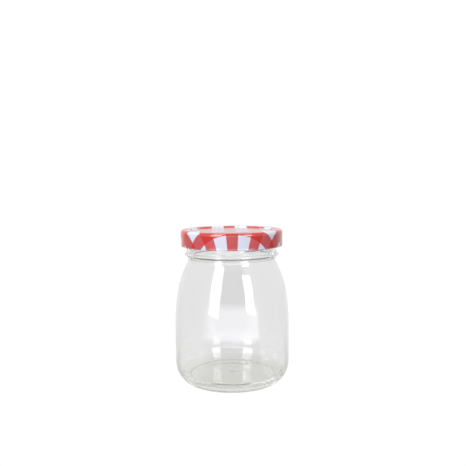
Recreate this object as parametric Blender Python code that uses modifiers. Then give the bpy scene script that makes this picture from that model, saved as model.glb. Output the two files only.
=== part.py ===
"""A round clear glass jar with a printed metal screw lid, shut and standing on its base.

Lengths are in metres and +Z is up. The origin is on the jar's axis, at the surface it stands on.
Angles about the axis are in degrees from the front (-Y) towards the right (+X).
"""

import math

import bmesh
import bpy

# Glass body
BODY_RADIUS = 0.0374
NECK_RADIUS = 0.0285
WALL = 0.0021
HEEL_WIDTH = 0.0112
HEEL_HEIGHT = 0.0141
HEEL_DEPTH = 0.0146
SHOULDER_BASE = 0.0341
SHOULDER_TOP = 0.0795
SHOULDER_SLOPE = math.radians(27.4)
SHOULDER_LOW_HANDLE = 0.0232
SHOULDER_HIGH_HANDLE = 0.0110
NECK_FILLET = 0.0040

# Base of the glass, with a push-up inside a flat bearing ring
BEARING_WIDTH = 0.0012
PUSH_UP_STEP = 0.0010
PUSH_UP_EDGE = 0.0005
PUSH_UP_CENTRE = 0.0016
FLOOR_RADIUS = 0.0291
FLOOR_EDGE = 0.0052
FLOOR_CENTRE = 0.0060
FLOOR_FILLET = 0.0008
FLOOR_FILLET_TURN = math.radians(15)
CORNER_TOP = 0.0155
CORNER_LOW_HANDLE = 0.0050
CORNER_HIGH_HANDLE = 0.0070

# Finish of the glass: transfer bead, thread wall and rim
BEAD_RADIUS = 0.0307
BEAD_CENTRE_RADIUS = 0.0289
BEAD_HEIGHT = 0.0841
BEAD_HALF_HEIGHT = 0.0013
FINISH_RADIUS = 0.0292
RIM_TOP = 0.0976
RIM_HALF_HEIGHT = 0.0013

# Four interrupted threads, right-handed
THREADS = 4
THREAD_RADIUS = 0.0312
THREAD_HALF_HEIGHT = 0.00095
THREAD_START_ANGLE = 16.5
THREAD_START_HEIGHT = 0.0887
THREAD_SPAN = 88.0
THREAD_TAPER = 7.0
THREAD_END_SCALE = 0.4
THREAD_LEAD = 0.0130
THREAD_POINTS = 13

# Metal lid
LID_RADIUS = 0.03325
LID_TOP = 0.0998
LID_BOTTOM = 0.0892
LID_SHEET = 0.00045
LID_SHOULDER = 0.0018
LID_RING_INNER = 0.0276
LID_PANEL_RADIUS = 0.0260
LID_PANEL_DROP = 0.0008
LID_STEP_EASE = 0.6
LID_SKIRT_FOOT = 0.0906
LID_CURL = 0.00055
LID_CURL_TURN = 210

# Lugs on the lid's curl, each under the upper end of a thread
LUG_ANGLE = 78.0
LUG_WIDTH = 0.0070
LUG_INNER_RADIUS = 0.0304
LUG_OUTER_RADIUS = 0.0327
LUG_BOTTOM = 0.08935
LUG_TOP = 0.0900

# Sealing ring in the lid's channel
SEAL_INNER = 0.0276
SEAL_OUTER = 0.0313
SEAL_BOTTOM = 0.0979
SEAL_TOP = 0.09905
SEAL_CORNER = 0.0004

TURN_STEPS = 48
MERGE = 0.00001
SHARP_ANGLE = math.radians(40)

GLASS_COLOUR = (0.86, 0.89, 0.87, 1.0)
LID_COLOUR = (0.66, 0.14, 0.14, 1.0)
SEAL_COLOUR = (0.80, 0.79, 0.75, 1.0)


def arc(centre, radii, start, end, steps):
    """Points (radius, height) on an elliptical arc from one angle to another, in degrees."""
    angles = [math.radians(start + (end - start) * i / steps) for i in range(steps + 1)]
    return [
        (centre[0] + radii[0] * math.cos(a), centre[1] + radii[1] * math.sin(a))
        for a in angles
    ]


def bezier(points, steps):
    """Points on a cubic Bezier curve, its two ends included."""
    curve = []
    for i in range(steps + 1):
        t = i / steps
        weights = ((1 - t) ** 3, 3 * t * (1 - t) ** 2, 3 * t * t * (1 - t), t**3)
        curve.append(tuple(sum(w * p[k] for w, p in zip(weights, points)) for k in (0, 1)))
    return curve


def dome(radius, edge, centre, steps):
    """Points of a shallow dome, from its edge to the axis."""
    radii = [radius * (1 - i / steps) for i in range(steps + 1)]
    return [(r, centre - (centre - edge) * (r / radius) ** 2) for r in radii]


def inset(points, distance):
    """The same outline moved inwards, where the points run down the outer side."""
    moved = []
    for i, (radius, height) in enumerate(points):
        before = points[max(i - 1, 0)]
        after = points[min(i + 1, len(points) - 1)]
        along = (after[0] - before[0], after[1] - before[1])
        length = math.hypot(*along)
        moved.append(
            (radius + distance * along[1] / length, height - distance * along[0] / length)
        )
    return moved


def neck_to_heel():
    """The outside of the jar from under the bead to the top of the heel."""
    tangent = NECK_FILLET * math.tan(SHOULDER_SLOPE / 2)
    fillet = [
        (
            NECK_RADIUS + NECK_FILLET * (1 - math.cos(a)),
            SHOULDER_TOP + tangent - NECK_FILLET * math.sin(a),
        )
        for a in (SHOULDER_SLOPE * i / 3 for i in range(4))
    ]
    start = fillet[-1]
    upper_handle = (
        start[0] + SHOULDER_HIGH_HANDLE * math.sin(SHOULDER_SLOPE),
        start[1] - SHOULDER_HIGH_HANDLE * math.cos(SHOULDER_SLOPE),
    )
    lower_handle = (BODY_RADIUS, SHOULDER_BASE + SHOULDER_LOW_HANDLE)
    end = (BODY_RADIUS, SHOULDER_BASE)
    shoulder = bezier((start, upper_handle, lower_handle, end), 10)
    return fillet + shoulder[1:] + [(BODY_RADIUS, HEEL_HEIGHT)]


def floor_corner(inner_radius):
    """The inside from the floor's edge, round a fillet and up in one easy bend to the wall."""
    fillet_centre = (FLOOR_RADIUS, FLOOR_EDGE + FLOOR_FILLET)
    fillet_end = math.degrees(FLOOR_FILLET_TURN) - 90
    fillet = arc(fillet_centre, (FLOOR_FILLET, FLOOR_FILLET), -90, fillet_end, 1)
    start = fillet[-1]
    low_handle = (
        start[0] + CORNER_LOW_HANDLE * math.cos(FLOOR_FILLET_TURN),
        start[1] + CORNER_LOW_HANDLE * math.sin(FLOOR_FILLET_TURN),
    )
    high_handle = (inner_radius, CORNER_TOP - CORNER_HIGH_HANDLE)
    bend = bezier((start, low_handle, high_handle, (inner_radius, CORNER_TOP)), 8)
    return fillet + bend[1:]


def jar_profile():
    """The jar's section, from the floor's centre up the inside and down the outside."""
    outside = neck_to_heel()
    wall = [point for point in inset(outside, WALL) if point[1] > CORNER_TOP]
    inner_radius = BODY_RADIUS - WALL
    bore_radius = NECK_RADIUS - WALL
    floor = dome(FLOOR_RADIUS, FLOOR_EDGE, FLOOR_CENTRE, 3)
    corner = floor_corner(inner_radius)
    rim_centre = ((bore_radius + FINISH_RADIUS) / 2, RIM_TOP - RIM_HALF_HEIGHT)
    rim_size = ((FINISH_RADIUS - bore_radius) / 2, RIM_HALF_HEIGHT)
    rim = arc(rim_centre, rim_size, 180, 0, 7)
    bead_size = (BEAD_RADIUS - BEAD_CENTRE_RADIUS, BEAD_HALF_HEIGHT)
    bead_start = math.degrees(
        math.acos((FINISH_RADIUS - BEAD_CENTRE_RADIUS) / bead_size[0])
    )
    bead = arc((BEAD_CENTRE_RADIUS, BEAD_HEIGHT), bead_size, bead_start, -90, 6)
    under_bead = [(NECK_RADIUS, BEAD_HEIGHT - BEAD_HALF_HEIGHT)]
    heel_centre = (BODY_RADIUS - HEEL_WIDTH, HEEL_HEIGHT)
    heel_turn = math.degrees(math.asin(HEEL_HEIGHT / HEEL_DEPTH))
    heel = arc(heel_centre, (HEEL_WIDTH, HEEL_DEPTH), 0, -heel_turn, 8)
    bearing_outer = heel[-1][0]
    bearing_inner = bearing_outer - BEARING_WIDTH
    push_up_radius = bearing_inner - PUSH_UP_STEP
    step = bezier(
        (
            (bearing_inner, 0),
            (bearing_inner - PUSH_UP_STEP / 2, 0),
            (push_up_radius + PUSH_UP_STEP / 2, PUSH_UP_EDGE),
            (push_up_radius, PUSH_UP_EDGE),
        ),
        4,
    )
    push_up = dome(push_up_radius, PUSH_UP_EDGE, PUSH_UP_CENTRE, 3)
    return (
        floor[::-1]
        + corner[1:]
        + wall[::-1]
        + rim
        + bead
        + under_bead
        + outside
        + heel[1:]
        + step
        + push_up[1:]
    )


def lid_profile():
    """The lid's section, from the panel's centre outwards, down the skirt and back inside."""
    panel_height = LID_TOP - LID_PANEL_DROP
    step_handle = (LID_RING_INNER - LID_PANEL_RADIUS) * LID_STEP_EASE
    step = bezier(
        (
            (LID_PANEL_RADIUS, panel_height),
            (LID_PANEL_RADIUS + step_handle, panel_height),
            (LID_RING_INNER - step_handle, LID_TOP),
            (LID_RING_INNER, LID_TOP),
        ),
        5,
    )
    shoulder_centre = (LID_RADIUS - LID_SHOULDER, LID_TOP - LID_SHOULDER)
    shoulder = arc(shoulder_centre, (LID_SHOULDER, LID_SHOULDER), 90, 0, 5)
    top_and_skirt = step + shoulder + [(LID_RADIUS, LID_SKIRT_FOOT)]
    curl_centre = (LID_RADIUS - LID_CURL, LID_BOTTOM + LID_CURL)
    curl = arc(curl_centre, (LID_CURL, LID_CURL), 0, -LID_CURL_TURN, 7)
    underside = inset(top_and_skirt, LID_SHEET)[::-1]
    outer_centre = [(0, panel_height)]
    inner_centre = [(0, panel_height - LID_SHEET)]
    return outer_centre + top_and_skirt + curl + underside + inner_centre


def seal_profile():
    """The sealing ring's section, a low band with eased corners, closed on itself."""
    corners = (
        ((SEAL_OUTER, SEAL_TOP), (-1, -1), 90),
        ((SEAL_OUTER, SEAL_BOTTOM), (-1, 1), 0),
        ((SEAL_INNER, SEAL_BOTTOM), (1, 1), -90),
        ((SEAL_INNER, SEAL_TOP), (1, -1), -180),
    )
    outline = []
    for (radius, height), (inwards, upwards), start in corners:
        centre = (radius + inwards * SEAL_CORNER, height + upwards * SEAL_CORNER)
        outline += arc(centre, (SEAL_CORNER, SEAL_CORNER), start, start - 90, 1)
    return outline + outline[:1]


def turned(name, profile):
    """A body of revolution about Z, made from its section with a Screw modifier."""
    mesh = bpy.data.meshes.new(name)
    edges = [(i, i + 1) for i in range(len(profile) - 1)]
    mesh.from_pydata([(radius, 0, height) for radius, height in profile], edges, [])
    body = bpy.data.objects.new(name, mesh)
    screw = body.modifiers.new("Turn", "SCREW")
    screw.axis = "Z"
    screw.angle = math.tau
    screw.steps = TURN_STEPS
    screw.render_steps = TURN_STEPS
    screw.use_merge_vertices = True
    screw.merge_threshold = MERGE
    screw.use_smooth_shade = True
    return body


def around(radius, angle, height):
    """A point at an angle from the front towards the right."""
    turn = math.radians(angle)
    return (radius * math.sin(turn), -radius * math.cos(turn), height)


def thread_cutter(index, collection):
    """One interrupted thread: a rising bar whose ends sink into the thread wall."""
    curve = bpy.data.curves.new(f"thread_{index + 1}", "CURVE")
    curve.dimensions = "3D"
    curve.bevel_depth = THREAD_HALF_HEIGHT
    curve.bevel_resolution = 2
    curve.use_fill_caps = True
    spline = curve.splines.new("POLY")
    spline.points.add(THREAD_POINTS - 1)
    full_radius = THREAD_RADIUS - THREAD_HALF_HEIGHT
    sunk_radius = FINISH_RADIUS - THREAD_HALF_HEIGHT / 2
    first_angle = THREAD_START_ANGLE + 360 / THREADS * index
    for i, point in enumerate(spline.points):
        along = THREAD_SPAN * i / (THREAD_POINTS - 1)
        fullness = min(along, THREAD_SPAN - along, THREAD_TAPER) / THREAD_TAPER
        radius = sunk_radius + (full_radius - sunk_radius) * fullness
        height = THREAD_START_HEIGHT + THREAD_LEAD * along / 360
        point.co = (*around(radius, first_angle + along, height), 1)
        point.radius = THREAD_END_SCALE + (1 - THREAD_END_SCALE) * fullness
    guide = bpy.data.objects.new(curve.name, curve)
    collection.objects.link(guide)
    bpy.context.view_layer.update()
    graph = bpy.context.evaluated_depsgraph_get()
    mesh = bpy.data.meshes.new_from_object(guide.evaluated_get(graph))
    weld(mesh)
    bar = bpy.data.objects.new(f"thread_bar_{index + 1}", mesh)
    bar.matrix_world = guide.matrix_world
    bpy.data.objects.remove(guide)
    add_helper(bar, collection)


def lug_cutter(index, collection):
    """One lug: a flat tab that reaches in from the curl."""
    depth = LUG_OUTER_RADIUS - LUG_INNER_RADIUS
    angle = THREAD_START_ANGLE + LUG_ANGLE + 360 / THREADS * index
    mesh = bpy.data.meshes.new(f"lug_{index + 1}")
    tab = bmesh.new()
    bmesh.ops.create_cube(tab, size=1)
    bmesh.ops.scale(tab, vec=(LUG_WIDTH, depth, LUG_TOP - LUG_BOTTOM), verts=tab.verts)
    tab.to_mesh(mesh)
    tab.free()
    lug = bpy.data.objects.new(mesh.name, mesh)
    lug.location = around(
        (LUG_OUTER_RADIUS + LUG_INNER_RADIUS) / 2, angle, (LUG_TOP + LUG_BOTTOM) / 2
    )
    lug.rotation_euler = (0, 0, math.radians(angle))
    add_helper(lug, collection)


def weld(mesh):
    """Closes a curve's loose caps onto its sides."""
    body = bmesh.new()
    body.from_mesh(mesh)
    bmesh.ops.remove_doubles(body, verts=body.verts, dist=MERGE)
    bmesh.ops.recalc_face_normals(body, faces=body.faces)
    body.to_mesh(mesh)
    body.free()


def add_helper(body, collection):
    """Adds an object that only takes part in a Boolean, so it stays out of renders."""
    body.hide_render = True
    body.display_type = "WIRE"
    collection.objects.link(body)


def fuse(body, collection):
    """Joins every object of a collection to a body."""
    union = body.modifiers.new("Fuse", "BOOLEAN")
    union.operation = "UNION"
    union.operand_type = "COLLECTION"
    union.collection = collection


def settle(body):
    """Applies a body's modifiers, and shades it smooth with its real edges left sharp."""
    bpy.context.view_layer.update()
    graph = bpy.context.evaluated_depsgraph_get()
    mesh = bpy.data.meshes.new_from_object(body.evaluated_get(graph))
    mesh.name = body.name
    body.modifiers.clear()
    body.data = mesh
    mesh.shade_smooth()
    mesh.set_sharp_from_angle(angle=SHARP_ANGLE)


def paint(body, name, colour, roughness, metallic=0.0, transmission=0.0):
    """Gives a body its own Principled material."""
    material = bpy.data.materials.new(name)
    material.use_nodes = True
    shader = material.node_tree.nodes["Principled BSDF"]
    shader.inputs["Base Color"].default_value = colour
    shader.inputs["Roughness"].default_value = roughness
    shader.inputs["Metallic"].default_value = metallic
    shader.inputs["Transmission Weight"].default_value = transmission
    material.diffuse_color = colour
    body.data.materials.clear()
    body.data.materials.append(material)


def new_collection(name):
    collection = bpy.data.collections.new(name)
    bpy.context.scene.collection.children.link(collection)
    return collection


def make_glass_jar(parts):
    threads = new_collection("threads")
    for index in range(THREADS):
        thread_cutter(index, threads)
    jar = turned("glass_jar", jar_profile())
    parts.objects.link(jar)
    fuse(jar, threads)
    settle(jar)
    paint(jar, "clear_glass", GLASS_COLOUR, 0.02, transmission=1.0)


def make_lid(parts):
    lugs = new_collection("lugs")
    for index in range(THREADS):
        lug_cutter(index, lugs)
    lid = turned("lid", lid_profile())
    parts.objects.link(lid)
    fuse(lid, lugs)
    settle(lid)
    paint(lid, "printed_tinplate", LID_COLOUR, 0.25, metallic=0.2)


def make_seal(parts):
    seal = turned("seal", seal_profile())
    parts.objects.link(seal)
    settle(seal)
    paint(seal, "sealing_compound", SEAL_COLOUR, 0.6)


def main():
    for leftover in list(bpy.data.objects):
        bpy.data.objects.remove(leftover)
    parts = new_collection("screw_top_jar")
    make_glass_jar(parts)
    make_lid(parts)
    make_seal(parts)


main()
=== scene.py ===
"""The looks of the shut glass jar: clear glass, a gingham-printed metal lid and its seal, on white."""

import math

import bmesh
import bpy
import numpy as np
from mathutils import Euler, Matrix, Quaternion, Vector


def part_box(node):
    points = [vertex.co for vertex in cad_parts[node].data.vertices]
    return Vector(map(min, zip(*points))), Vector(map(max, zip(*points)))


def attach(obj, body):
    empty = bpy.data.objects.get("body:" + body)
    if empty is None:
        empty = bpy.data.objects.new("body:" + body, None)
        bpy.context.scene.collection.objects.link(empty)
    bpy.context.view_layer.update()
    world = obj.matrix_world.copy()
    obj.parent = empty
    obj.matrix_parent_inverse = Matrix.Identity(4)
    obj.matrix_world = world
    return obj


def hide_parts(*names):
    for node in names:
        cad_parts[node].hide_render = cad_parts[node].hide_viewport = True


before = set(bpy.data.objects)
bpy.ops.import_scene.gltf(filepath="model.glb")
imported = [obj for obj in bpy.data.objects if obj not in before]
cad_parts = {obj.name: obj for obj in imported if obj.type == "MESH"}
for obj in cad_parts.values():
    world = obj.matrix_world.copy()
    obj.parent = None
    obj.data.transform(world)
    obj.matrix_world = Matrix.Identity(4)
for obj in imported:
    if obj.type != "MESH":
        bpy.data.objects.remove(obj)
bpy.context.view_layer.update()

MM = 0.001
JAR_LOW, JAR_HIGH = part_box("glass_jar")
LID_LOW, LID_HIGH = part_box("lid")
SEAL_LOW, SEAL_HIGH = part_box("seal")

# Glass body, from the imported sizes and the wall's thickness
BODY_RADIUS = JAR_HIGH.x
RIM_TOP = JAR_HIGH.z
NECK_RADIUS = 28.5 * MM
WALL = 2.1 * MM
HEEL_WIDTH = 11.2 * MM
HEEL_HEIGHT = 14.1 * MM
HEEL_DEPTH = 14.6 * MM
SHOULDER_BASE = 34.1 * MM
SHOULDER_TOP = 79.5 * MM
SHOULDER_SLOPE = math.radians(27.4)
SHOULDER_LOW_HANDLE = 23.2 * MM
SHOULDER_HIGH_HANDLE = 11.0 * MM
NECK_FILLET = 4.0 * MM
BEARING_WIDTH = 1.2 * MM
PUSH_UP_STEP = 1.0 * MM
PUSH_UP_EDGE = 0.5 * MM
PUSH_UP_CENTRE = 1.6 * MM
FLOOR_RADIUS = 29.1 * MM
FLOOR_EDGE = 5.2 * MM
FLOOR_CENTRE = 6.0 * MM
FLOOR_FILLET = 0.8 * MM
FLOOR_FILLET_TURN = math.radians(15)
CORNER_TOP = 15.5 * MM
CORNER_LOW_HANDLE = 5.0 * MM
CORNER_HIGH_HANDLE = 7.0 * MM
BEAD_RADIUS = 30.7 * MM
BEAD_CENTRE_RADIUS = 28.9 * MM
BEAD_HEIGHT = 84.1 * MM
BEAD_HALF_HEIGHT = 1.3 * MM
BEAD_END = -78
BEAD_FOOT_HANDLE = 0.6 * MM
FINISH_RADIUS = 29.2 * MM
RIM_HALF_HEIGHT = 1.3 * MM

# Threads, in degrees from the front towards the right
THREADS = 4
THREAD_RELIEF = 2.0 * MM
THREAD_HALF_HEIGHT = 0.95 * MM
THREAD_START_ANGLE = 16.5
THREAD_START_HEIGHT = 88.7 * MM
THREAD_SPAN = 88.0
THREAD_TAPER = 5.0
THREAD_LEAD = 13.0 * MM

# Lid
LID_RADIUS = LID_HIGH.x
LID_TOP = LID_HIGH.z
LID_BOTTOM = LID_LOW.z
LID_SHEET = 0.4 * MM
LID_SHOULDER = 1.8 * MM
LID_RING_INNER = 27.6 * MM
LID_PANEL_RADIUS = 26.0 * MM
LID_PANEL_DROP = 0.8 * MM
LID_CURL = 0.55 * MM
LUG_ANGLE = 78.0
LUG_HALF_WIDTH = 6.5
LUG_REACH = 1.7 * MM
LID_SKIRT_FOOT = 1.0 * MM
LID_STEP_EASE = 0.6
CURL_STEPS = 24
CURL_PRINTED_STEPS = 13

# Seal
SEAL_INNER = 27.6 * MM
SEAL_SIDE_POWER = 0.5
SEAL_TOP_POWER = 0.6

# Print: the bands' repeat and width in the flat sheet, their turn, and where two bands run
PRINT_PITCH = 16.0 * MM
PRINT_BAND = 7.72 * MM
PRINT_TURN = math.radians(2.03)
PRINT_OFFSET = (-0.81 * MM, -29.83 * MM)

# In the looks only: knurling on the bearing ring, plain dots under the base and waves of the inner wall
KNURLS = 96
KNURL_DEPTH = 0.3 * MM
DOT_RADIUS = 0.7 * MM
DOT_DEPTH = 0.45 * MM
DOT_PLACES = (
    (-2.8, 15.5), (-1.2, 15.5), (6.2, 15.5),
    (-0.4, 0.5), (1.4, 0.5), (3.2, 0.5),
    (9.6, -5.0), (11.2, -5.6), (12.8, -6.0),
)
KNURL_RING = (27.8 * MM, 30.6 * MM)
KNURL_EASE = (0.3 * MM, 0.6 * MM)
BASE_TOP = 6 * MM
WAVE_DEPTH = 0.06 * MM

# Mesh steps round the axis
SEGMENTS = 384


def srgb(red, green, blue):
    """A colour from its 0 to 255 screen values."""
    return (*(((c / 255 + 0.055) / 1.055) ** 2.4 for c in (red, green, blue)), 1)


PRINT_WHITE = srgb(246, 248, 255)
PRINT_SINGLE = srgb(224, 92, 91)
PRINT_DOUBLE = srgb(228, 42, 28)
LACQUER = srgb(225, 222, 214)
SEAL_DARK = srgb(214, 209, 196)
SEAL_LIGHT = srgb(234, 230, 219)
GLASS_TINT = (0.80, 0.82, 0.74, 1)
GLASS_DENSITY = 3


def arc(centre, radii, start, end, steps):
    """Points (radius, height) on an elliptical arc from one angle to another, in degrees."""
    angles = np.radians(np.linspace(start, end, steps + 1))
    return np.stack(
        [centre[0] + radii[0] * np.cos(angles), centre[1] + radii[1] * np.sin(angles)], -1
    )


def bezier(points, steps):
    """Points on a cubic Bezier curve, its two ends included."""
    t = np.linspace(0, 1, steps + 1)[:, None]
    a, b, c, d = np.array(points, float)
    return a * (1 - t) ** 3 + 3 * b * t * (1 - t) ** 2 + 3 * c * t * t * (1 - t) + d * t**3


def line(start, end, steps):
    """Points on a straight run, its two ends included."""
    t = np.linspace(0, 1, steps + 1)[:, None]
    return np.array(start) * (1 - t) + np.array(end) * t


def dome(radius, edge, centre, steps):
    """Points of a shallow dome, from its edge to the axis."""
    radii = radius * np.linspace(1, 0, steps + 1)
    return np.stack([radii, centre - (centre - edge) * (radii / radius) ** 2], -1)


def inset(points, distance):
    """The same outline moved inwards, where the points run down the outer side."""
    along = np.gradient(points, axis=0)
    along /= np.linalg.norm(along, axis=1, keepdims=True)
    return points + distance * np.stack([along[:, 1], -along[:, 0]], -1)


def chain(*runs):
    """Joins runs of points end to end, dropping each repeated joint."""
    joined = [runs[0]]
    for run in runs[1:]:
        same = np.allclose(joined[-1][-1], run[0], atol=1e-7)
        joined.append(run[1:] if same else run)
    return np.concatenate(joined)


def smooth(x):
    """A soft step from 0 to 1."""
    x = np.clip(x, 0, 1)
    return x * x * (3 - 2 * x)


def window(angle, half_width, soft):
    """1 inside a range of degrees about 0 and 0 outside, with soft ends."""
    return smooth((half_width + soft / 2 - np.abs(angle)) / soft)


def wrapped(angle):
    """Degrees brought into -180 to 180."""
    return (angle + 180) % 360 - 180


def revolve(name, profile, shift=None, closed=False, mark=None):
    """A turned mesh from a section that runs down its outer side.

    shift takes arrays (radius, height, angle in degrees) and returns the moved radius and height.
    mark takes the mesh and the angle of its points in radians, to store values on the points.
    """
    count = len(profile)
    turn = np.arange(SEGMENTS) * 360 / SEGMENTS
    radius = np.repeat(profile[:, :1], SEGMENTS, 1)
    height = np.repeat(profile[:, 1:], SEGMENTS, 1)
    angle = np.repeat(turn[None], count, 0)
    if shift:
        radius, height = shift(radius, height, angle)
    turned = np.radians(angle)
    points = np.stack([radius * np.sin(turned), -radius * np.cos(turned), height], -1)
    index = np.arange(count * SEGMENTS).reshape(count, SEGMENTS)
    if closed:
        index = np.concatenate([index, index[:1]])
    upper, lower = index[:-1], index[1:]
    faces = np.stack([upper, lower, np.roll(lower, -1, 1), np.roll(upper, -1, 1)], -1)
    mesh = bpy.data.meshes.new(name)
    mesh.from_pydata(points.reshape(-1, 3), [], faces.reshape(-1, 4).tolist())
    if mark:
        mark(mesh, turned)
    piece = bpy.data.objects.new(name, mesh)
    bpy.context.scene.collection.objects.link(piece)
    merge_poles(mesh)
    mesh.shade_smooth()
    return piece


def merge_poles(mesh):
    """Joins the ring of points that a profile's end on the axis makes."""
    body = bmesh.new()
    body.from_mesh(mesh)
    pole = [v for v in body.verts if math.hypot(v.co.x, v.co.y) < 1e-6]
    bmesh.ops.remove_doubles(body, verts=pole, dist=1e-6)
    body.to_mesh(mesh)
    body.free()


def neck_to_heel():
    """The outside, from under the bead down to the top of the heel."""
    tangent = NECK_FILLET * math.tan(SHOULDER_SLOPE / 2)
    turn = np.linspace(0, SHOULDER_SLOPE, 9)
    fillet = np.stack(
        [
            NECK_RADIUS + NECK_FILLET * (1 - np.cos(turn)),
            SHOULDER_TOP + tangent - NECK_FILLET * np.sin(turn),
        ],
        -1,
    )
    start = fillet[-1]
    upper = start + SHOULDER_HIGH_HANDLE * np.array(
        [math.sin(SHOULDER_SLOPE), -math.cos(SHOULDER_SLOPE)]
    )
    lower = (BODY_RADIUS, SHOULDER_BASE + SHOULDER_LOW_HANDLE)
    end = (BODY_RADIUS, SHOULDER_BASE)
    shoulder = bezier((start, upper, lower, end), 40)
    return chain(fillet, shoulder, line(end, (BODY_RADIUS, HEEL_HEIGHT), 6))


def floor_corner(inner_radius):
    """The inside from the floor's edge, round a fillet and up in one easy bend to the wall."""
    fillet_end = math.degrees(FLOOR_FILLET_TURN) - 90
    fillet_centre = (FLOOR_RADIUS, FLOOR_EDGE + FLOOR_FILLET)
    fillet = arc(fillet_centre, (FLOOR_FILLET, FLOOR_FILLET), -90, fillet_end, 16)
    rise = CORNER_LOW_HANDLE * np.array([math.cos(FLOOR_FILLET_TURN), math.sin(FLOOR_FILLET_TURN)])
    top = np.array([inner_radius, CORNER_TOP])
    bend = bezier((fillet[-1], fillet[-1] + rise, top - (0, CORNER_HIGH_HANDLE), top), 40)
    return chain(fillet, bend)


def jar_sections():
    """The inside, from the floor's centre up to the rim, and the outside, down to the base's centre."""
    outside = neck_to_heel()
    inner_radius = BODY_RADIUS - WALL
    bore_radius = NECK_RADIUS - WALL
    floor = dome(FLOOR_RADIUS, FLOOR_EDGE, FLOOR_CENTRE, 12)[::-1]
    corner = floor_corner(inner_radius)
    wall = inset(outside, WALL)[::-1]
    wall = wall[wall[:, 1] > CORNER_TOP + 0.5 * MM]
    rim_centre = ((bore_radius + FINISH_RADIUS) / 2, RIM_TOP - RIM_HALF_HEIGHT)
    rim = arc(rim_centre, ((FINISH_RADIUS - bore_radius) / 2, RIM_HALF_HEIGHT), 180, 0, 20)
    inside = chain(floor, corner, wall, line(wall[-1], rim[0], 6), rim[:11])
    bead_size = np.array([BEAD_RADIUS - BEAD_CENTRE_RADIUS, BEAD_HALF_HEIGHT])
    bead_start = math.degrees(math.acos((FINISH_RADIUS - BEAD_CENTRE_RADIUS) / bead_size[0]))
    bead = arc((BEAD_CENTRE_RADIUS, BEAD_HEIGHT), bead_size, bead_start, BEAD_END, 22)
    under_bead = np.array([NECK_RADIUS + BEAD_FOOT_HANDLE, bead[-1][1]])
    over_neck = outside[0] + (0, BEAD_FOOT_HANDLE)
    bead_foot = bezier((bead[-1], under_bead, over_neck, outside[0]), 12)
    heel_centre = (BODY_RADIUS - HEEL_WIDTH, HEEL_HEIGHT)
    heel_turn = math.degrees(math.asin(HEEL_HEIGHT / HEEL_DEPTH))
    heel = arc(heel_centre, (HEEL_WIDTH, HEEL_DEPTH), 0, -heel_turn, 30)
    bearing_outer = heel[-1][0]
    bearing_inner = bearing_outer - BEARING_WIDTH
    push_up_radius = bearing_inner - PUSH_UP_STEP
    step = bezier(
        (
            (bearing_inner, 0),
            (bearing_inner - PUSH_UP_STEP / 2, 0),
            (push_up_radius + PUSH_UP_STEP / 2, PUSH_UP_EDGE),
            (push_up_radius, PUSH_UP_EDGE),
        ),
        8,
    )
    push_up = dome(push_up_radius, PUSH_UP_EDGE, PUSH_UP_CENTRE, 40)
    finish = line(rim[-1], bead[0], 50)
    outer = chain(
        rim[10:], finish, bead, bead_foot, outside, heel,
        line((bearing_outer, 0), (bearing_inner, 0), 4), step, push_up,
    )
    return inside, outer


def thread_relief(height, angle):
    """How far the threads stand out of the thread wall at a place."""
    relief = np.zeros_like(height)
    for index in range(THREADS):
        along = (angle - THREAD_START_ANGLE - 360 / THREADS * index) % 360
        centre = THREAD_START_HEIGHT + THREAD_LEAD * along / 360
        ends = np.minimum(along, THREAD_SPAN - along) / THREAD_TAPER
        fullness = np.sqrt(np.clip(ends * (2 - ends), 0, 1) * (ends > 0) + (ends >= 1))
        fullness = np.where(ends >= 1, 1, np.where(ends > 0, fullness, 0))
        across = np.abs(height - centre) / (THREAD_HALF_HEIGHT * (0.35 + 0.65 * fullness))
        section = np.sqrt(np.clip(1 - across**2.6, 0, 1))
        relief = np.maximum(relief, THREAD_RELIEF * fullness * section)
    return relief


def outside_relief(radius, height, angle):
    """Threads, the bearing ring's knurling and the dots under the base."""
    on_finish = (height > BEAD_HEIGHT + BEAD_HALF_HEIGHT * 0.5) & (radius > NECK_RADIUS)
    radius = radius + np.where(on_finish, thread_relief(height, angle), 0)
    ring = smooth((radius - KNURL_RING[0]) / KNURL_EASE[0])
    ring = ring * smooth((KNURL_RING[1] - radius) / KNURL_EASE[1])
    under = height < BASE_TOP
    bars = 0.5 - 0.5 * np.cos(np.radians(angle) * KNURLS)
    height = height + np.where(under, KNURL_DEPTH * ring * bars, 0)
    turned = np.radians(angle)
    x, y = radius * np.sin(turned), -radius * np.cos(turned)
    for dot_x, dot_y in DOT_PLACES:
        away = np.hypot(x - dot_x * MM, y - dot_y * MM)
        bump = smooth(1.3 - away / DOT_RADIUS)
        height = height - np.where(under, DOT_DEPTH * bump, 0)
    return radius, height


def inside_waves(radius, height, angle):
    """The slight unevenness that blowing leaves on the inner wall."""
    a = np.radians(angle)
    z = height / (10 * MM)
    waves = (
        0.5 * np.sin(2 * a + 0.9 * z + 0.4)
        + 0.35 * np.sin(3 * a - 1.3 * z + 2.1)
        + 0.25 * np.sin(5 * a + 2.1 * z + 1.0)
        + 0.2 * np.sin(9 * a - 2.6 * z + 0.2)
    )
    on_wall = smooth((height - 12 * MM) / (8 * MM)) * smooth((84 * MM - height) / (10 * MM))
    return radius + WAVE_DEPTH * waves * on_wall, height


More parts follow.
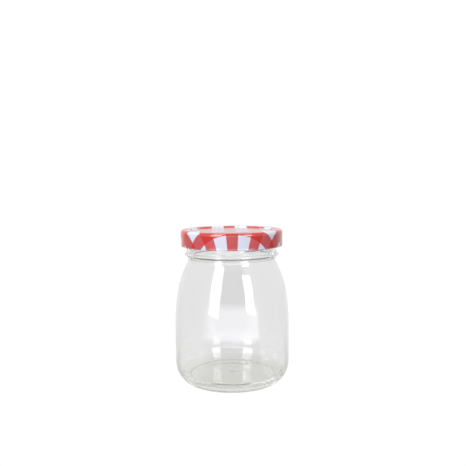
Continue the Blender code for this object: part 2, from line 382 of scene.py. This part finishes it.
def glass_material():
    """Clear glass with a faint tint in the depth and a slightly uneven surface."""
    material = bpy.data.materials.new("clear_glass")
    material.use_nodes = True
    nodes, links = material.node_tree.nodes, material.node_tree.links
    shader = nodes["Principled BSDF"]
    shader.inputs["Base Color"].default_value = (1, 1, 1, 1)
    shader.inputs["Roughness"].default_value = 0.0
    shader.inputs["IOR"].default_value = 1.5
    shader.inputs["Transmission Weight"].default_value = 1
    place = nodes.new("ShaderNodeTexCoord")
    bump = grain_nodes(nodes, links, place.outputs["Object"], 90, 0.04)[1]
    links.new(bump, shader.inputs["Normal"])
    volume = nodes.new("ShaderNodeVolumeAbsorption")
    volume.inputs["Color"].default_value = GLASS_TINT
    volume.inputs["Density"].default_value = GLASS_DENSITY
    links.new(volume.outputs["Volume"], nodes["Material Output"].inputs["Volume"])
    return material


def make_glass():
    inside, outer = jar_sections()
    profile = np.concatenate([inside[:-1], outer])
    split = len(inside) - 1

    def shift(radius, height, angle):
        radius, height = radius.copy(), height.copy()
        radius[:split], height[:split] = inside_waves(
            radius[:split], height[:split], angle[:split]
        )
        radius[split:], height[split:] = outside_relief(
            radius[split:], height[split:], angle[split:]
        )
        return radius, height

    jar = revolve("jar_glass", profile, shift)
    jar.data.materials.append(glass_material())
    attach(jar, "root")
    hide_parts("glass_jar")


def lid_sections():
    """The lid's outside with its curl, and its underside, both run from the axis or to it."""
    panel = LID_TOP - LID_PANEL_DROP
    ease = (LID_RING_INNER - LID_PANEL_RADIUS) * LID_STEP_EASE
    step = bezier(
        (
            (LID_PANEL_RADIUS, panel),
            (LID_PANEL_RADIUS + ease, panel),
            (LID_RING_INNER - ease, LID_TOP),
            (LID_RING_INNER, LID_TOP),
        ),
        14,
    )
    centre = (LID_RADIUS - LID_SHOULDER, LID_TOP - LID_SHOULDER)
    shoulder = arc(centre, (LID_SHOULDER, LID_SHOULDER), 90, 0, 14)
    skirt_foot = (LID_RADIUS, LID_BOTTOM + LID_SKIRT_FOOT)
    skirt = line(shoulder[-1], skirt_foot, 24)
    top = chain(line((0, panel), step[0], 30), step, line(step[-1], shoulder[0], 6), shoulder, skirt)
    curl = arc((LID_RADIUS - LID_CURL, LID_BOTTOM + LID_CURL), (LID_CURL, LID_CURL), 0, -250, CURL_STEPS)
    return top, curl, inset(top, LID_SHEET)[::-1]


def sheet_radius(profile):
    """The radius each point of the lid had in the flat printed sheet, as drawing keeps areas."""
    steps = np.linalg.norm(np.diff(profile, axis=0), axis=1)
    middles = (profile[1:, 0] + profile[:-1, 0]) / 2
    return np.sqrt(2 * np.concatenate([[0], np.cumsum(steps * middles)]))


def lug_shift(radius, height, angle):
    """Presses the curl inwards at each lug."""
    on_curl = (height < LID_BOTTOM + 1.3 * MM) & (radius < LID_RADIUS - LID_CURL * 0.9)
    for index in range(THREADS):
        away = wrapped(angle - THREAD_START_ANGLE - LUG_ANGLE - 360 / THREADS * index)
        press = window(away, LUG_HALF_WIDTH, 3.0) * on_curl
        depth = np.clip((LID_RADIUS - LID_CURL * 0.9 - radius) / (LID_CURL * 0.9), 0, 1)
        radius = radius - LUG_REACH * press * depth
        height = height - press * np.clip(height - LID_BOTTOM - 0.4 * MM, 0, None) * 0.4
    return radius, height


def math_node(nodes, links, operation, first, second=None, third=None):
    """A maths node on numbers or sockets, as its output socket."""
    node = nodes.new("ShaderNodeMath")
    node.operation = operation
    for socket, value in zip(node.inputs, (first, second, third)):
        if value is None:
            continue
        if isinstance(value, (int, float)):
            socket.default_value = value
        else:
            links.new(value, socket)
    return node.outputs[0]


def mix_node(nodes, links, factor, first, second):
    """A colour mix of numbers or sockets, as its output socket."""
    node = nodes.new("ShaderNodeMix")
    node.data_type = "RGBA"
    for socket, value in ((node.inputs[0], factor), (node.inputs[6], first), (node.inputs[7], second)):
        if isinstance(value, (int, float, tuple)):
            socket.default_value = value
        else:
            links.new(value, socket)
    return node.outputs[2]


def grain_nodes(nodes, links, place, scale, strength):
    """Fine grain over a surface, as a value and as a bumped normal."""
    noise = nodes.new("ShaderNodeTexNoise")
    noise.inputs["Scale"].default_value = scale
    noise.inputs["Detail"].default_value = 1
    links.new(place, noise.inputs["Vector"])
    bump = nodes.new("ShaderNodeBump")
    bump.inputs["Strength"].default_value = strength
    bump.inputs["Distance"].default_value = 0.001
    links.new(noise.outputs["Fac"], bump.inputs["Height"])
    return noise.outputs["Fac"], bump.outputs["Normal"]


def print_material():
    """Gingham on the lid's outside under a clear varnish, and plain lacquer inside."""
    material = bpy.data.materials.new("gingham_print")
    material.use_nodes = True
    nodes, links = material.node_tree.nodes, material.node_tree.links
    shader = nodes["Principled BSDF"]
    place = nodes.new("ShaderNodeAttribute")
    place.attribute_name = "sheet"
    parts = nodes.new("ShaderNodeSeparateXYZ")
    links.new(place.outputs["Vector"], parts.inputs[0])

    def band(axis, offset):
        """1 on the coloured bands across one direction and 0 between them."""
        cos, sin = math.cos(PRINT_TURN), math.sin(PRINT_TURN)
        along = (cos, sin) if axis == 0 else (-sin, cos)
        x = math_node(nodes, links, "MULTIPLY", parts.outputs[0], along[0])
        across = math_node(nodes, links, "MULTIPLY_ADD", parts.outputs[1], along[1], x)
        moved = math_node(nodes, links, "SUBTRACT", across, offset)
        cycle = math_node(nodes, links, "PINGPONG", moved, PRINT_PITCH / 2)
        edge = math_node(nodes, links, "SUBTRACT", PRINT_BAND / 2, cycle)
        sharp = math_node(nodes, links, "MULTIPLY_ADD", edge, 1 / (0.15 * MM), 0.5)
        return math_node(nodes, links, "MINIMUM", math_node(nodes, links, "MAXIMUM", sharp, 0), 1)

    columns = band(0, PRINT_OFFSET[0])
    rows = band(1, PRINT_OFFSET[1])
    either = math_node(nodes, links, "MAXIMUM", columns, rows)
    both = math_node(nodes, links, "MINIMUM", columns, rows)
    single = mix_node(nodes, links, either, PRINT_WHITE, PRINT_SINGLE)
    colour = mix_node(nodes, links, both, single, PRINT_DOUBLE)
    side = nodes.new("ShaderNodeAttribute")
    side.attribute_name = "printed"
    colour = mix_node(nodes, links, side.outputs["Fac"], LACQUER, colour)
    grain, bump = grain_nodes(nodes, links, place.outputs["Vector"], 1400, 0.03)
    tone = math_node(nodes, links, "MULTIPLY_ADD", grain, 0.1, 0.95)
    toned = nodes.new("ShaderNodeVectorMath")
    toned.operation = "SCALE"
    links.new(colour, toned.inputs[0])
    links.new(tone, toned.inputs["Scale"])
    links.new(toned.outputs["Vector"], shader.inputs["Base Color"])
    links.new(bump, shader.inputs["Normal"])
    links.new(bump, shader.inputs["Coat Normal"])
    shader.inputs["Roughness"].default_value = 0.4
    shader.inputs["Specular IOR Level"].default_value = 0.3
    shader.inputs["Coat Weight"].default_value = 1
    shader.inputs["Coat Roughness"].default_value = 0.03
    shader.inputs["Coat IOR"].default_value = 1.8
    return material


def make_lid():
    top, curl, underside = lid_sections()
    profile = np.concatenate([top, curl[1:], underside])
    outer = np.concatenate([top, curl[1 : CURL_PRINTED_STEPS + 1]])
    flat = sheet_radius(outer)
    flat = np.concatenate([flat, np.full(len(profile) - len(flat), flat[-1])])

    def mark(mesh, turned):
        """Stores where each point lay in the flat sheet, and whether its side is printed."""
        reach = flat[:, None]
        places = np.stack([reach * np.sin(turned), -reach * np.cos(turned), 0 * turned], -1)
        sheet = mesh.attributes.new("sheet", "FLOAT_VECTOR", "POINT")
        sheet.data.foreach_set("vector", places.astype(np.float32).ravel())
        on_print = np.repeat(np.arange(len(profile)) < len(outer), SEGMENTS)
        printed = mesh.attributes.new("printed", "FLOAT", "POINT")
        printed.data.foreach_set("value", on_print.astype(np.float32))

    lid = revolve("lid_shell", profile, lug_shift, mark=mark)
    lid.data.materials.append(print_material())
    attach(lid, "root")
    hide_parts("lid")


def make_seal():
    low = SEAL_LOW.z
    high = SEAL_HIGH.z
    outer = SEAL_HIGH.x
    middle = ((outer + SEAL_INNER) / 2, (high + low) / 2)
    half = ((outer - SEAL_INNER) / 2, (high - low) / 2)
    around = np.radians(np.linspace(0, -360, 33))[:-1]
    across = np.sign(np.cos(around)) * np.abs(np.cos(around)) ** SEAL_SIDE_POWER
    up = np.sign(np.sin(around)) * np.abs(np.sin(around)) ** SEAL_TOP_POWER
    profile = np.stack([middle[0] + half[0] * across, middle[1] + half[1] * up], -1)
    seal = revolve("seal_ring", profile, closed=True)
    material = bpy.data.materials.new("sealing_compound")
    material.use_nodes = True
    nodes, links = material.node_tree.nodes, material.node_tree.links
    shader = nodes["Principled BSDF"]
    place = nodes.new("ShaderNodeTexCoord")
    grain, bump = grain_nodes(nodes, links, place.outputs["Object"], 900, 0.3)
    links.new(mix_node(nodes, links, grain, SEAL_DARK, SEAL_LIGHT), shader.inputs["Base Color"])
    links.new(bump, shader.inputs["Normal"])
    shader.inputs["Roughness"].default_value = 0.6
    seal.data.materials.append(material)
    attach(seal, "root")
    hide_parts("seal")


# Camera
CAMERA_DISTANCE = 389.7 * MM
CAMERA_HEIGHT = 131.3 * MM
CAMERA_TILT = math.radians(5)
CAMERA_ROLL = math.radians(-0.36)
CAMERA_SIDE = 0.95 * MM
CAMERA_LENS = 46.16
RAY_BOUNCES = 200

# Brightness of the white room: in the picture, through the glass, and in the dark gap between the lamps
WHITE = (1.02, 1.02, 1.02, 1)
ROOM = (0.81, 0.81, 0.81, 1)
DARK_GAP = (0.05, 0.05, 0.05, 1)
LAMP = (6.0, 6.0, 6.0, 1)
LIT_TABLE = (2.4, 2.4, 2.65, 1)
NEAR_FLOOR = (0.05, 0.05, 0.05, 1)
FAR_FLOOR = (0.1, 0.1, 0.1, 1)
DARK_SIDES = (0.64, 0.64, 0.64, 1)
# Painted shadow on the floor under the jar, seen through the glass and mirrored in it, while the camera
# sees plain white
SHADOW_UNDER_JAR = (0.68, 0.68, 0.635, 1)

# The gap and the lamps as seen from the jar, in degrees: from the front towards the right, and up.
# Each lamp: its middle, half its width at the horizon and how that grows with height, its foot, how
# its foot slopes, and its top.
GAP_SIDES = (-30, 32)
LAMPS = (
    (-36, 10, 0.08, -6.5, 0.14, 60),
    (37, 8.5, 0.04, 4.2, 0.147, 40.4),
)
SIDES = (58, 128)

# The lit part of the table in front, and the dark parts before and behind it, by distance. A low
# screen round the jar carries the light on and hides the dark part from all but the lid.
TABLE_SIDES = (-46, 50)
TABLE_HORIZON = 3.8
TABLE_REACH = (0.168, 0.4)
FAR_REACH = (0.4, 1.3)
FAR_SIDES = (-125, 125)
# Reach of the painted shadow under the jar, with its middle set a little to the right
UNDER_REACH = 0.040
UNDER_PLACE = (0.006, 0, 0)
FLOOR_SIZE = 6.0
SCREEN_REACH = 0.3
SCREEN_HEIGHT = 0.052
SCREEN_LEVEL = 0.045
SCREEN_STEPS = 128

# Soft edges, in degrees for the room and in metres for the floor's zones, and a limit left open
SIDE_RAMPS = (22, 30)
GAP_RAMPS = (16, 16)
TABLE_RAMPS = (22, 3)
TABLE_TOP_RAMP = 7
LAMP_RAMP = 1.5
FAR_SIDE_RAMPS = (22, 22)
FAR_RAMPS = (0.15, 0.15)
TABLE_REACH_RAMPS = (0.03, 0.15)
UNDER_RAMP = 0.022
OPEN = -100
OPEN_RAMP = 1

# Soft light on the lid: a wide glow from the upper left front over an even fill
FILL = 0.62
KEY = 1.0
SOFT_TINT = (1.0, 1.03, 1.15)
KEY_AZIMUTH = -36
KEY_ELEVATION = 20
FILL_FLOOR = 0.35
SOFT_FLOOR = (0.30, 0.31, 0.34, 1)


def between(nodes, links, value, low, high, soft_low, soft_high):
    """1 where a value lies between two limits and 0 outside, with a ramp at each of them."""
    rise = math_node(nodes, links, "SUBTRACT", value, low)
    rise = math_node(nodes, links, "MULTIPLY_ADD", rise, 1 / soft_low, 0.5)
    fall = math_node(nodes, links, "SUBTRACT", high, value)
    fall = math_node(nodes, links, "MULTIPLY_ADD", fall, 1 / soft_high, 0.5)
    inside = math_node(nodes, links, "MINIMUM", rise, fall)
    inside = math_node(nodes, links, "MAXIMUM", inside, 0)
    return math_node(nodes, links, "MINIMUM", inside, 1)


def room_light(nodes, links, across, soft, mirrored):
    """The room by kind of ray: white to the camera, soft to the lid's paint, or seen in the glass."""
    path = nodes.new("ShaderNodeLightPath")
    reflected = math_node(nodes, links, "MINIMUM", path.outputs["Glossy Depth"], 1)
    seen = mix_node(nodes, links, reflected, across, mirrored)
    seen = mix_node(nodes, links, path.outputs["Is Diffuse Ray"], seen, soft)
    return mix_node(nodes, links, path.outputs["Is Camera Ray"], seen, WHITE)


def key_light(nodes, links, direction):
    """Brightness of the soft light from a direction, as a colour socket."""
    azimuth, elevation = math.radians(KEY_AZIMUTH), math.radians(KEY_ELEVATION)
    aim = nodes.new("ShaderNodeVectorMath")
    aim.operation = "DOT_PRODUCT"
    aim.inputs[1].default_value = (
        math.sin(azimuth) * math.cos(elevation),
        -math.cos(azimuth) * math.cos(elevation),
        math.sin(elevation),
    )
    links.new(direction, aim.inputs[0])
    light = math_node(nodes, links, "MULTIPLY_ADD", aim.outputs["Value"], KEY, FILL)
    light = math_node(nodes, links, "MAXIMUM", light, FILL_FLOOR)
    tinted = nodes.new("ShaderNodeVectorMath")
    tinted.operation = "SCALE"
    tinted.inputs[0].default_value = SOFT_TINT
    links.new(light, tinted.inputs["Scale"])
    return tinted.outputs["Vector"]


def azimuth_of(nodes, links, parts):
    """Degrees from the front towards the right, from a separated direction or place."""
    forward = math_node(nodes, links, "MULTIPLY", parts.outputs[1], -1)
    azimuth = math_node(nodes, links, "ARCTAN2", parts.outputs[0], forward)
    return math_node(nodes, links, "DEGREES", azimuth)


def glow_material(name):
    """A material that only glows, with its glow node and the place on the surface and its parts."""
    material = bpy.data.materials.new(name)
    material.use_nodes = True
    material.cycles.emission_sampling = "NONE"
    nodes, links = material.node_tree.nodes, material.node_tree.links
    nodes.remove(nodes["Principled BSDF"])
    glow = nodes.new("ShaderNodeEmission")
    links.new(glow.outputs[0], nodes["Material Output"].inputs["Surface"])
    place = nodes.new("ShaderNodeTexCoord")
    parts = nodes.new("ShaderNodeSeparateXYZ")
    links.new(place.outputs["Object"], parts.inputs[0])
    return material, glow, place.outputs["Object"], parts


def add_sides(nodes, links, azimuth):
    """The room with its darker sides."""
    aside = math_node(nodes, links, "ABSOLUTE", azimuth)
    sides = between(nodes, links, aside, *SIDES, *SIDE_RAMPS)
    return mix_node(nodes, links, sides, ROOM, DARK_SIDES)


def add_lamps(nodes, links, azimuth, elevation, light):
    """The upright lamps laid over the light of the room."""
    for middle, half_width, widening, foot, slope, top in LAMPS:
        aside = math_node(nodes, links, "SUBTRACT", azimuth, middle)
        aside = math_node(nodes, links, "ABSOLUTE", aside)
        aside = math_node(nodes, links, "MULTIPLY_ADD", elevation, -widening, aside)
        lamp = between(nodes, links, aside, OPEN, half_width, OPEN_RAMP, LAMP_RAMP)
        height = math_node(nodes, links, "MULTIPLY_ADD", azimuth, slope, elevation)
        upright = between(nodes, links, height, foot, top, LAMP_RAMP, LAMP_RAMP)
        lamp = math_node(nodes, links, "MULTIPLY", lamp, upright)
        light = mix_node(nodes, links, lamp, light, LAMP)
    return light


def make_world():
    world = bpy.data.worlds.new("studio")
    world.cycles.sampling_method = "NONE"
    bpy.context.scene.world = world
    world.use_nodes = True
    nodes, links = world.node_tree.nodes, world.node_tree.links
    place = nodes.new("ShaderNodeTexCoord")
    direction = place.outputs["Generated"]
    parts = nodes.new("ShaderNodeSeparateXYZ")
    links.new(direction, parts.inputs[0])
    azimuth = azimuth_of(nodes, links, parts)
    elevation = math_node(nodes, links, "DEGREES", math_node(nodes, links, "ARCSINE", parts.outputs[2]))

    light = add_sides(nodes, links, azimuth)
    gap = between(nodes, links, azimuth, *GAP_SIDES, *GAP_RAMPS)
    light = mix_node(nodes, links, gap, light, DARK_GAP)
    table = between(nodes, links, azimuth, *TABLE_SIDES, *TABLE_RAMPS)
    below = between(nodes, links, elevation, OPEN, TABLE_HORIZON, OPEN_RAMP, TABLE_TOP_RAMP)
    table = math_node(nodes, links, "MULTIPLY", table, below)
    light = mix_node(nodes, links, table, light, LIT_TABLE)
    light = add_lamps(nodes, links, azimuth, elevation, light)
    colour = room_light(nodes, links, ROOM, key_light(nodes, links, direction), light)
    links.new(colour, nodes["Background"].inputs["Color"])


def make_floor():
    bpy.ops.mesh.primitive_plane_add(size=FLOOR_SIZE, location=(0, 0, -0.0001))
    floor = bpy.context.object
    floor.name = "floor"
    material, glow, place, parts = glow_material("white_sweep")
    nodes, links = material.node_tree.nodes, material.node_tree.links
    azimuth = azimuth_of(nodes, links, parts)
    reach = nodes.new("ShaderNodeVectorMath")
    reach.operation = "LENGTH"
    links.new(place, reach.inputs[0])
    distance = reach.outputs["Value"]
    ahead = between(nodes, links, azimuth, *FAR_SIDES, *FAR_SIDE_RAMPS)
    far = between(nodes, links, distance, *FAR_REACH, *FAR_RAMPS)
    far = math_node(nodes, links, "MULTIPLY", far, ahead)
    mirrored = mix_node(nodes, links, far, add_sides(nodes, links, azimuth), FAR_FLOOR)
    table = between(nodes, links, azimuth, *TABLE_SIDES, *TABLE_RAMPS)
    near = between(nodes, links, distance, OPEN, TABLE_REACH[0], OPEN_RAMP, TABLE_REACH_RAMPS[0])
    near = math_node(nodes, links, "MULTIPLY", near, table)
    mirrored = mix_node(nodes, links, near, mirrored, NEAR_FLOOR)
    lit = between(nodes, links, distance, *TABLE_REACH, *TABLE_REACH_RAMPS)
    lit = math_node(nodes, links, "MULTIPLY", lit, table)
    mirrored = mix_node(nodes, links, lit, mirrored, LIT_TABLE)
    # Painted shadow under the jar: a darker disc on the floor for rays through the glass and rays
    # mirrored in it
    shadow = nodes.new("ShaderNodeVectorMath")
    shadow.operation = "DISTANCE"
    shadow.inputs[1].default_value = UNDER_PLACE
    links.new(place, shadow.inputs[0])
    under = between(nodes, links, shadow.outputs["Value"], OPEN, UNDER_REACH, OPEN_RAMP, UNDER_RAMP)
    across = mix_node(nodes, links, under, ROOM, SHADOW_UNDER_JAR)
    mirrored = mix_node(nodes, links, under, mirrored, SHADOW_UNDER_JAR)
    colour = room_light(nodes, links, across, SOFT_FLOOR, mirrored)
    links.new(colour, glow.inputs["Color"])
    floor.data.materials.append(material)


def make_screen():
    """A low ring round the jar that the camera doesn't see."""
    turned = np.radians(np.arange(SCREEN_STEPS) * 360 / SCREEN_STEPS)
    ring = SCREEN_REACH * np.stack([np.sin(turned), -np.cos(turned), 0 * turned], -1)
    points = np.concatenate([ring, ring + (0, 0, SCREEN_HEIGHT)])
    low = np.arange(SCREEN_STEPS)
    faces = np.stack([low, np.roll(low, -1), np.roll(low, -1) + len(low), low + len(low)], -1)
    mesh = bpy.data.meshes.new("low_screen")
    mesh.from_pydata(points, [], faces.tolist())
    screen = bpy.data.objects.new("low_screen", mesh)
    screen.visible_camera = False
    bpy.context.scene.collection.objects.link(screen)
    material, glow, _, parts = glow_material("low_screen")
    nodes, links = material.node_tree.nodes, material.node_tree.links
    azimuth = azimuth_of(nodes, links, parts)
    light = add_sides(nodes, links, azimuth)
    table = between(nodes, links, azimuth, *TABLE_SIDES, *TABLE_RAMPS)
    light = mix_node(nodes, links, table, light, LIT_TABLE)
    rise = math_node(nodes, links, "SUBTRACT", parts.outputs[2], SCREEN_LEVEL)
    elevation = math_node(nodes, links, "DEGREES", math_node(nodes, links, "DIVIDE", rise, SCREEN_REACH))
    light = add_lamps(nodes, links, azimuth, elevation, light)
    colour = room_light(nodes, links, ROOM, SOFT_FLOOR, light)
    links.new(colour, glow.inputs["Color"])
    mesh.materials.append(material)


def make_camera():
    data = bpy.data.cameras.new("camera")
    data.lens = CAMERA_LENS
    camera = bpy.data.objects.new("camera", data)
    camera.location = (CAMERA_SIDE, -CAMERA_DISTANCE, CAMERA_HEIGHT)
    camera.rotation_mode = "QUATERNION"
    aim = Euler((math.pi / 2 - CAMERA_TILT, 0, 0)).to_quaternion()
    camera.rotation_quaternion = aim @ Quaternion((0, 0, 1), CAMERA_ROLL)
    bpy.context.scene.collection.objects.link(camera)
    bpy.context.scene.camera = camera


def let_light_through():
    """Lets rays pass on inside the thick base, where a short limit leaves black patches."""
    cycles = bpy.context.scene.cycles
    cycles.max_bounces = RAY_BOUNCES
    cycles.glossy_bounces = RAY_BOUNCES
    cycles.transmission_bounces = RAY_BOUNCES


def main():
    bpy.context.scene.view_settings.view_transform = "Standard"
    let_light_through()
    make_glass()
    make_lid()
    make_seal()
    make_world()
    make_floor()
    make_screen()
    make_camera()


main()
